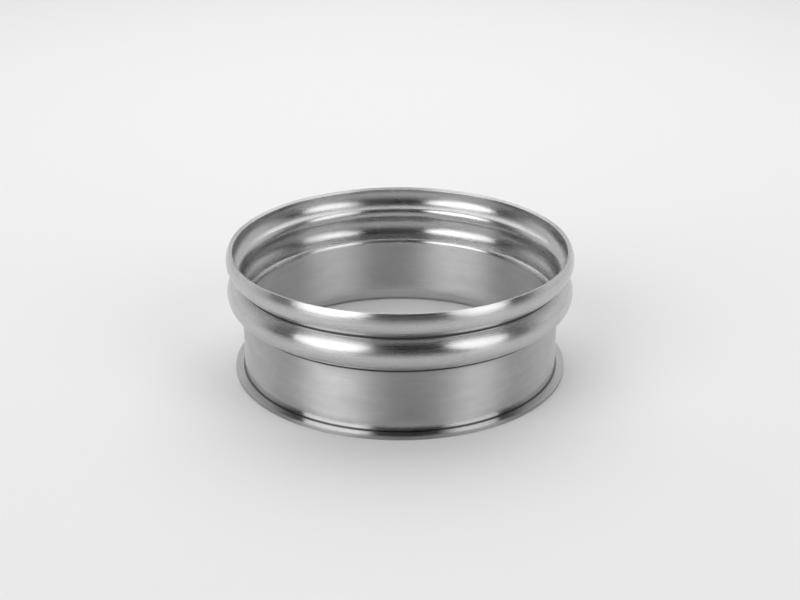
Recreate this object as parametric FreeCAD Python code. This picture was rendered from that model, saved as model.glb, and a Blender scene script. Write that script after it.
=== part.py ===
import FreeCAD, Part
import math
import os

# A lipped spigot: one ring of stainless steel sheet, with no joint or seam. From the bottom up it
# has a flat lip turned outwards, a plain round wall, and two rolled beads with a narrow fold
# between them. The cut rim sits on top of the upper bead, where the sheet curls back inwards.
# The sheet is equally thick everywhere, so what stands out on the outside is a hollow channel on
# the inside. The section is one line of bends, drawn once for each face of the sheet.
# Millimetres. The origin is the centre of the lip's underside, and +Z runs up the axis.

sheet = 2.0
wall_outer_r = 77.0
height = 62.8             # from the lip's underside to the rim's outer corner before it is rounded
lip_reach = 4.5           # how far the lip stands out from the wall
bead_rise = 7.0           # how far the beads stand out from the wall
bead_roll_r = 8.1         # outside radius of a bead's round section
fold_depth = 5.0          # from the beads' widest down to the bottom of the fold between them
rim_above_bead = 5.1      # from the middle of the upper bead up to the rim's outer corner
fold_r = 1.1              # outside radius of the fold between the beads
shoulder_r = 0.6          # outside radius where the lower bead turns into the wall
lip_bend_r = 0.5          # outside radius where the wall turns into the lip
edge_round_r = 0.3        # rounding of the sheet's cut edges, at the rim and round the lip

up = math.pi / 2
half_turn = math.pi


def section_point(radius, z):
    """A point of the half section, which lies in the XZ plane"""
    return FreeCAD.Vector(radius, 0, z)


def on_circle(centre, radius, angle):
    """The point of the half section at this angle, in radians from +X towards +Z"""
    return centre + section_point(radius * math.cos(angle), radius * math.sin(angle))


def arc(centre, radius, start, end):
    """An arc of the half section"""
    middle = (start + end) / 2
    points = [on_circle(centre, radius, angle) for angle in (start, middle, end)]
    return Part.Arc(*points).toShape()


# Both beads are rolled about circles of the same radius, and the fold touches them both.
bead_axis_r = wall_outer_r + bead_rise - bead_roll_r
fold_axis_r = wall_outer_r + bead_rise - fold_depth + fold_r
bead_to_fold = bead_roll_r + fold_r
fold_angle = math.acos((fold_axis_r - bead_axis_r) / bead_to_fold)
upper_bead = section_point(bead_axis_r, height - rim_above_bead)
fold = on_circle(upper_bead, bead_to_fold, -fold_angle)
lower_bead = on_circle(fold, bead_to_fold, half_turn + fold_angle)
rim_angle = math.asin(rim_above_bead / bead_roll_r)

# The shoulder touches the lower bead and the wall's outer face.
bead_to_shoulder = bead_roll_r + shoulder_r
shoulder_angle = math.acos((wall_outer_r + shoulder_r - bead_axis_r) / bead_to_shoulder)
shoulder = on_circle(lower_bead, bead_to_shoulder, -shoulder_angle)

# The lip bend touches the wall's outer face and the lip's upper face.
lip_bend = section_point(wall_outer_r + lip_bend_r, sheet + lip_bend_r)
lip_outer_r = wall_outer_r + lip_reach


def sheet_face(depth, rounding_depth, facing):
    """One face of the sheet, from the rim's cut end to the lip's, with the rounding at both ends

    depth and rounding_depth say how far the face and its roundings' centres lie below the sheet's
    outer face. facing turns by half a turn for the inner face, which looks the other way.
    """
    rim_rounding_r = bead_roll_r - rounding_depth
    rim_face_angle = rim_angle - math.asin(edge_round_r / rim_rounding_r)
    rim_rounding = on_circle(upper_bead, rim_rounding_r, rim_face_angle)
    lip_rounding = section_point(lip_outer_r - edge_round_r, sheet - rounding_depth)
    wall_r = wall_outer_r - depth
    wall_top = section_point(wall_r, shoulder.z)
    wall_bottom = section_point(wall_r, lip_bend.z)
    lip_start = section_point(lip_bend.x, sheet - depth)
    lip_end = section_point(lip_rounding.x, sheet - depth)
    return [
        arc(rim_rounding, edge_round_r, rim_angle + up, rim_face_angle + facing),
        arc(upper_bead, bead_roll_r - depth, rim_face_angle, -fold_angle),
        arc(fold, fold_r + depth, half_turn - fold_angle, half_turn + fold_angle),
        arc(lower_bead, bead_roll_r - depth, fold_angle, -shoulder_angle),
        arc(shoulder, shoulder_r + depth, half_turn - shoulder_angle, half_turn),
        Part.makeLine(wall_top, wall_bottom),
        arc(lip_bend, lip_bend_r + depth, half_turn, half_turn + up),
        Part.makeLine(lip_start, lip_end),
        arc(lip_rounding, edge_round_r, up - facing, 0),
    ]


def make_spigot():
    """The sheet's section turned once about the axis"""
    outer_face = sheet_face(0, edge_round_r, 0)
    inner_face = sheet_face(sheet, sheet - edge_round_r, half_turn)
    rim_end = Part.makeLine(outer_face[0].Vertexes[0].Point, inner_face[0].Vertexes[0].Point)
    lip_end = Part.makeLine(outer_face[-1].Vertexes[-1].Point, inner_face[-1].Vertexes[-1].Point)
    outline = Part.Wire(Part.__sortEdges__(outer_face + [lip_end] + inner_face + [rim_end]))
    axis_base = FreeCAD.Vector(0, 0, 0)
    axis_up = FreeCAD.Vector(0, 0, 1)
    return Part.Face(outline).revolve(axis_base, axis_up, 360)


os.makedirs("parts", exist_ok=True)
make_spigot().exportStep("parts/spigot.step")
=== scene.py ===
import bpy
import math
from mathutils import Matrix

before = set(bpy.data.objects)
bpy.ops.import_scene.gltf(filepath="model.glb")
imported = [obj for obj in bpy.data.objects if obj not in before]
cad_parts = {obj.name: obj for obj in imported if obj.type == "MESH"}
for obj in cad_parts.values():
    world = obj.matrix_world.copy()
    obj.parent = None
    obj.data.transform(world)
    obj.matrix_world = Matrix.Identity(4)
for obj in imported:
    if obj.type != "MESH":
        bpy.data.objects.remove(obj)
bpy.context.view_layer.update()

# Metres, as in the CAD frame: the origin is the centre of the lip's underside, and +Z is up.
# The camera looks along +Y. Azimuths are measured from the camera's side, positive to its right.
wall_r = 0.0770              # outer face of the plain wall
wall_top = 0.0328            # where the lower bead turns into the wall
lip_top = 0.0020
lip_r = 0.0815               # cut edge of the lip
fold_r = 0.0790              # bottom of the fold between the beads
fold_z = 0.0495

# The steel where the rolls have burnished it: the share of light that it reflects, and its roughness.
burnished_tone = 0.56
burnished_roughness = 0.28

camera_down = 23.9           # degrees that the camera looks down


def plug(tree, value, socket):
    """Joins an output to a socket, or sets the socket to a plain value"""
    if isinstance(value, bpy.types.NodeSocket):
        tree.links.new(value, socket)
    else:
        socket.default_value = value


def calc(tree, operation, *values):
    """The result of a Math node"""
    node = tree.nodes.new("ShaderNodeMath")
    node.operation = operation
    for value, socket in zip(values, node.inputs):
        plug(tree, value, socket)
    return node.outputs[0]


def length_of(tree, a, b):
    """The length of a vector that has these two parts"""
    squares = calc(tree, "ADD", calc(tree, "MULTIPLY", a, a), calc(tree, "MULTIPLY", b, b))
    return calc(tree, "SQRT", squares)


def add_where(tree, value, mask, amount):
    """Adds the amount where the mask is 1, and nothing where it is 0"""
    return calc(tree, "MULTIPLY_ADD", mask, amount, value)


def darken_where(tree, tone, mask, share):
    """Takes this share of the tone away where the mask is 1"""
    return calc(tree, "MULTIPLY", tone, calc(tree, "MULTIPLY_ADD", mask, -share, 1))


def vary(tree, value, pattern, amount):
    """Lets the value follow a pattern of 0 to 1 by this amount, and leaves its average"""
    return calc(tree, "MULTIPLY_ADD", calc(tree, "SUBTRACT", pattern, 0.5), amount, value)


def ramp(tree, value, start, end, at_start, at_end):
    """Goes smoothly from at_start to at_end while the value goes from start to end"""
    node = tree.nodes.new("ShaderNodeMapRange")
    node.interpolation_type = "SMOOTHSTEP"
    for number, socket in zip((value, start, end, at_start, at_end), node.inputs):
        plug(tree, number, socket)
    return node.outputs["Result"]


def noise(tree, vector, w, scale, detail):
    """Four-dimensional noise from 0 to 1, about 0.5 on average"""
    node = tree.nodes.new("ShaderNodeTexNoise")
    node.noise_dimensions = "4D"
    node.normalize = True
    plug(tree, vector, node.inputs["Vector"])
    plug(tree, w, node.inputs["W"])
    node.inputs["Scale"].default_value = scale
    node.inputs["Detail"].default_value = detail
    return node.outputs["Fac"]


def bump(tree, height, depth, normal=None):
    """Relief this deep, laid over the one before it"""
    node = tree.nodes.new("ShaderNodeBump")
    node.inputs["Distance"].default_value = depth
    plug(tree, height, node.inputs["Height"])
    if normal:
        plug(tree, normal, node.inputs["Normal"])
    return node.outputs[0]


def vector_of(tree, x, y, z):
    """A vector of these three parts"""
    node = tree.nodes.new("ShaderNodeCombineXYZ")
    for value, socket in zip((x, y, z), node.inputs):
        plug(tree, value, socket)
    return node.outputs[0]


def place_on_ring(tree):
    """Distance from the axis, height, and the two parts of the direction out from the axis"""
    node = tree.nodes.new("ShaderNodeSeparateXYZ")
    plug(tree, tree.nodes.new("ShaderNodeTexCoord").outputs["Object"], node.inputs[0])
    x, y, z = node.outputs
    radius = length_of(tree, x, y)
    around_x = calc(tree, "DIVIDE", x, radius)
    around_y = calc(tree, "DIVIDE", y, radius)
    return {"radius": radius, "z": z, "around x": around_x, "around y": around_y}


def drawn_out_noise(tree, place, line_width, shortness, detail):
    """Noise drawn out round the axis into lines of this width, shorter for a greater shortness"""
    vector = vector_of(
        tree,
        calc(tree, "MULTIPLY", place["around x"], shortness),
        calc(tree, "MULTIPLY", place["around y"], shortness),
        calc(tree, "DIVIDE", place["z"], line_width),
    )
    w = calc(tree, "DIVIDE", place["radius"], line_width)
    return noise(tree, vector, w, scale=1, detail=detail)


def patchy_noise(tree, place):
    """Soft patches, about 15 mm wide and 8 mm high"""
    patch_height = 0.008
    scale = 5
    height = calc(tree, "DIVIDE", place["z"], patch_height * scale)
    vector = vector_of(tree, place["around x"], place["around y"], height)
    return noise(tree, vector, w=3.7, scale=scale, detail=3)


def crease(tree, place, ring_radius, ring_z, reach):
    """1 on a circle round the axis, fading to 0 at this distance from it"""
    across = calc(tree, "SUBTRACT", place["radius"], ring_radius)
    along = calc(tree, "SUBTRACT", place["z"], ring_z)
    return ramp(tree, length_of(tree, across, along), 0.3 * reach, reach, 1, 0)


def all_creases(tree, place):
    """The thin dark lines in the lip bend, at the shoulder and in the fold: painted shade in the
    creases
    """
    lip_bend = crease(tree, place, wall_r + 0.0003, lip_top + 0.0003, 0.0007)
    shoulder = crease(tree, place, wall_r, wall_top, 0.0013)
    fold = crease(tree, place, fold_r, fold_z, 0.0010)
    return calc(tree, "MAXIMUM", calc(tree, "MAXIMUM", lip_bend, shoulder), fold)


def find_regions(tree, place):
    """Masks of the regions that differ in finish from the beads, and of the creases that get painted
    shade: 1 in the region and 0 outside
    """
    radius = place["radius"]
    z = place["z"]
    below_bead = ramp(tree, z, wall_top - 0.0005, wall_top + 0.0005, 1, 0)
    above_foot = ramp(tree, z, lip_top + 0.0015, lip_top + 0.009, 0, 1)
    wall = calc(tree, "MULTIPLY", below_bead, above_foot)
    inner_face = ramp(tree, radius, wall_r - 0.0015, wall_r - 0.0005, 1, 0)
    lip_end = ramp(tree, radius, lip_r - 0.0003, lip_r - 0.0001, 0, 1)
    below_lip_top = calc(tree, "LESS_THAN", z, lip_top)
    return {
        "wall": wall,
        "inner wall": calc(tree, "MULTIPLY", wall, inner_face),
        "foot": ramp(tree, z, lip_top + 0.002, lip_top + 0.006, 1, 0),
        "cut edge": calc(tree, "MULTIPLY", lip_end, below_lip_top),
        "creases": all_creases(tree, place),
    }


def steel_tone(tree, regions, lines, bands, patches):
    """The share of light that the steel reflects, with light painted onto the inner wall and shade
    painted into the creases
    """
    # Painted light: the inner face of the wall is made lighter, for the brighter reflection of a lit
    # floor inside the ring
    tone = add_where(tree, burnished_tone, regions["inner wall"], 0.06)
    tone = add_where(tree, tone, regions["wall"], 0.08)
    tone = vary(tree, tone, lines, 0.16)
    tone = vary(tree, tone, bands, 0.10)
    tone = vary(tree, tone, patches, calc(tree, "MULTIPLY", regions["wall"], 0.30))
    # Painted shade: the tone is darkened in the creases, where shadow falls
    tone = darken_where(tree, tone, regions["creases"], 0.85)
    return darken_where(tree, tone, regions["cut edge"], 0.2)


def steel_roughness(tree, regions, lines, bands, patches):
    """Brushed on the wall, smoothest at its foot, and dull in the creases and on the cut edge"""
    roughness = add_where(tree, burnished_roughness, regions["wall"], 0.30)
    roughness = add_where(tree, roughness, regions["foot"], -0.08)
    roughness = vary(tree, roughness, lines, 0.16)
    roughness = vary(tree, roughness, bands, 0.10)
    roughness = vary(tree, roughness, patches, 0.20)
    roughness = add_where(tree, roughness, regions["cut edge"], 0.2)
    return add_where(tree, roughness, regions["creases"], 0.15)


def steel_relief(tree, place, lines):
    """Grooves along the brushed lines, over the slight unevenness of a rolled sheet"""
    waves = drawn_out_noise(tree, place, line_width=0.004, shortness=9, detail=2)
    return bump(tree, waves, 0.0000035, bump(tree, lines, 0.0000025))


def spread_highlights(tree, shader):
    """Spreads the highlights up and down, across lines that are brushed round the axis"""
    tangent = tree.nodes.new("ShaderNodeTangent")
    tangent.direction_type = "RADIAL"
    tangent.axis = "Z"
    plug(tree, tangent.outputs[0], shader.inputs["Tangent"])
    quarter_turn = 0.25
    shader.inputs["Anisotropic"].default_value = 0.92
    shader.inputs["Anisotropic Rotation"].default_value = quarter_turn


def stainless():
    """Stainless steel: brushed round the axis on the plain wall, burnished by the rolls elsewhere"""
    material = bpy.data.materials.new("stainless")
    material.use_nodes = True
    tree = material.node_tree
    shader = tree.nodes["Principled BSDF"]
    shader.inputs["Metallic"].default_value = 1
    spread_highlights(tree, shader)
    place = place_on_ring(tree)
    regions = find_regions(tree, place)
    lines = drawn_out_noise(tree, place, line_width=0.0006, shortness=3, detail=4)
    bands = drawn_out_noise(tree, place, line_width=0.004, shortness=5, detail=4)
    patches = patchy_noise(tree, place)
    tone = steel_tone(tree, regions, lines, bands, patches)
    roughness = steel_roughness(tree, regions, lines, bands, patches)
    plug(tree, vector_of(tree, tone, tone, tone), shader.inputs["Base Color"])
    plug(tree, roughness, shader.inputs["Roughness"])
    plug(tree, steel_relief(tree, place, lines), shader.inputs["Normal"])
    return material


def paint_floor():
    """Matt pale paint without a shine"""
    material = bpy.data.materials.new("floor")
    material.use_nodes = True
    shader = material.node_tree.nodes["Principled BSDF"]
    shader.inputs["Base Color"].default_value = (0.85, 0.85, 0.85, 1)
    shader.inputs["Roughness"].default_value = 1
    shader.inputs["Specular IOR Level"].default_value = 0
    return material


def make_floor():
    """A square floor that reaches to the horizon in every view"""
    half = 30
    mesh = bpy.data.meshes.new("floor")
    corners = [(-half, -half, 0), (half, -half, 0), (half, half, 0), (-half, half, 0)]
    mesh.from_pydata(corners, [], [(0, 1, 2, 3)])
    mesh.materials.append(paint_floor())
    floor = bpy.data.objects.new("floor", mesh)
    bpy.context.scene.collection.objects.link(floor)


def softbox(name, azimuth, distance, height, tilt, width, length, radiance):
    """An oval of even light that faces the ring's axis, tilted down by so many degrees"""
    lamp = bpy.data.lights.new(name, "AREA")
    lamp.shape = "ELLIPSE"
    lamp.size = width
    lamp.size_y = length
    area = math.pi / 4 * width * length
    lamp.energy = radiance * math.pi * area
    box = bpy.data.objects.new(name, lamp)
    turn = math.radians(azimuth)
    box.location = (distance * math.sin(turn), -distance * math.cos(turn), height)
    box.rotation_euler = (math.radians(90 - tilt), 0, turn)
    bpy.context.scene.collection.objects.link(box)


def hang_softboxes():
    """Two in front make the bright patches on the beads, and the one overhead lights the floor"""
    softbox("left box", azimuth=-48, distance=3.0, height=1.9, tilt=30,
            width=3.0, length=3.7, radiance=2.5)
    softbox("right box", azimuth=55, distance=3.0, height=1.86, tilt=30,
            width=2.3, length=3.6, radiance=1.95)
    softbox("ceiling box", azimuth=180, distance=0.6, height=1.1, tilt=65,
            width=1.6, length=1.5, radiance=1.55)


def light_room():
    """The room's own light: dark on the camera's side, light behind the ring, dimmer higher up"""
    world = bpy.data.worlds.new("room")
    bpy.context.scene.world = world
    world.use_nodes = True
    tree = world.node_tree
    node = tree.nodes.new("ShaderNodeSeparateXYZ")
    plug(tree, tree.nodes.new("ShaderNodeTexCoord").outputs["Generated"], node.inputs[0])
    behind = ramp(tree, node.outputs["Y"], -0.15, 0.35, 0.06, 0.85)
    low = ramp(tree, node.outputs["Z"], 0.2, 0.7, 1, 0.5)
    background = tree.nodes["Background"]
    background.inputs["Color"].default_value = (1, 1, 1, 1)
    plug(tree, calc(tree, "MULTIPLY", behind, low), background.inputs["Strength"])


def add_camera():
    """The photograph's viewing angle"""
    data = bpy.data.cameras.new("camera")
    data.sensor_width = 36
    data.lens = 63.79
    data.clip_start = 0.01
    camera = bpy.data.objects.new("camera", data)
    camera.location = (0, -0.6372, 0.3152)
    camera.rotation_euler = (math.radians(90 - camera_down), 0, 0)
    bpy.context.scene.collection.objects.link(camera)
    bpy.context.scene.camera = camera


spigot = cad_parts["spigot"]
spigot.data.materials.clear()
spigot.data.materials.append(stainless())
make_floor()
hang_softboxes()
light_room()
add_camera()
bpy.context.scene.view_settings.view_transform = "Standard"
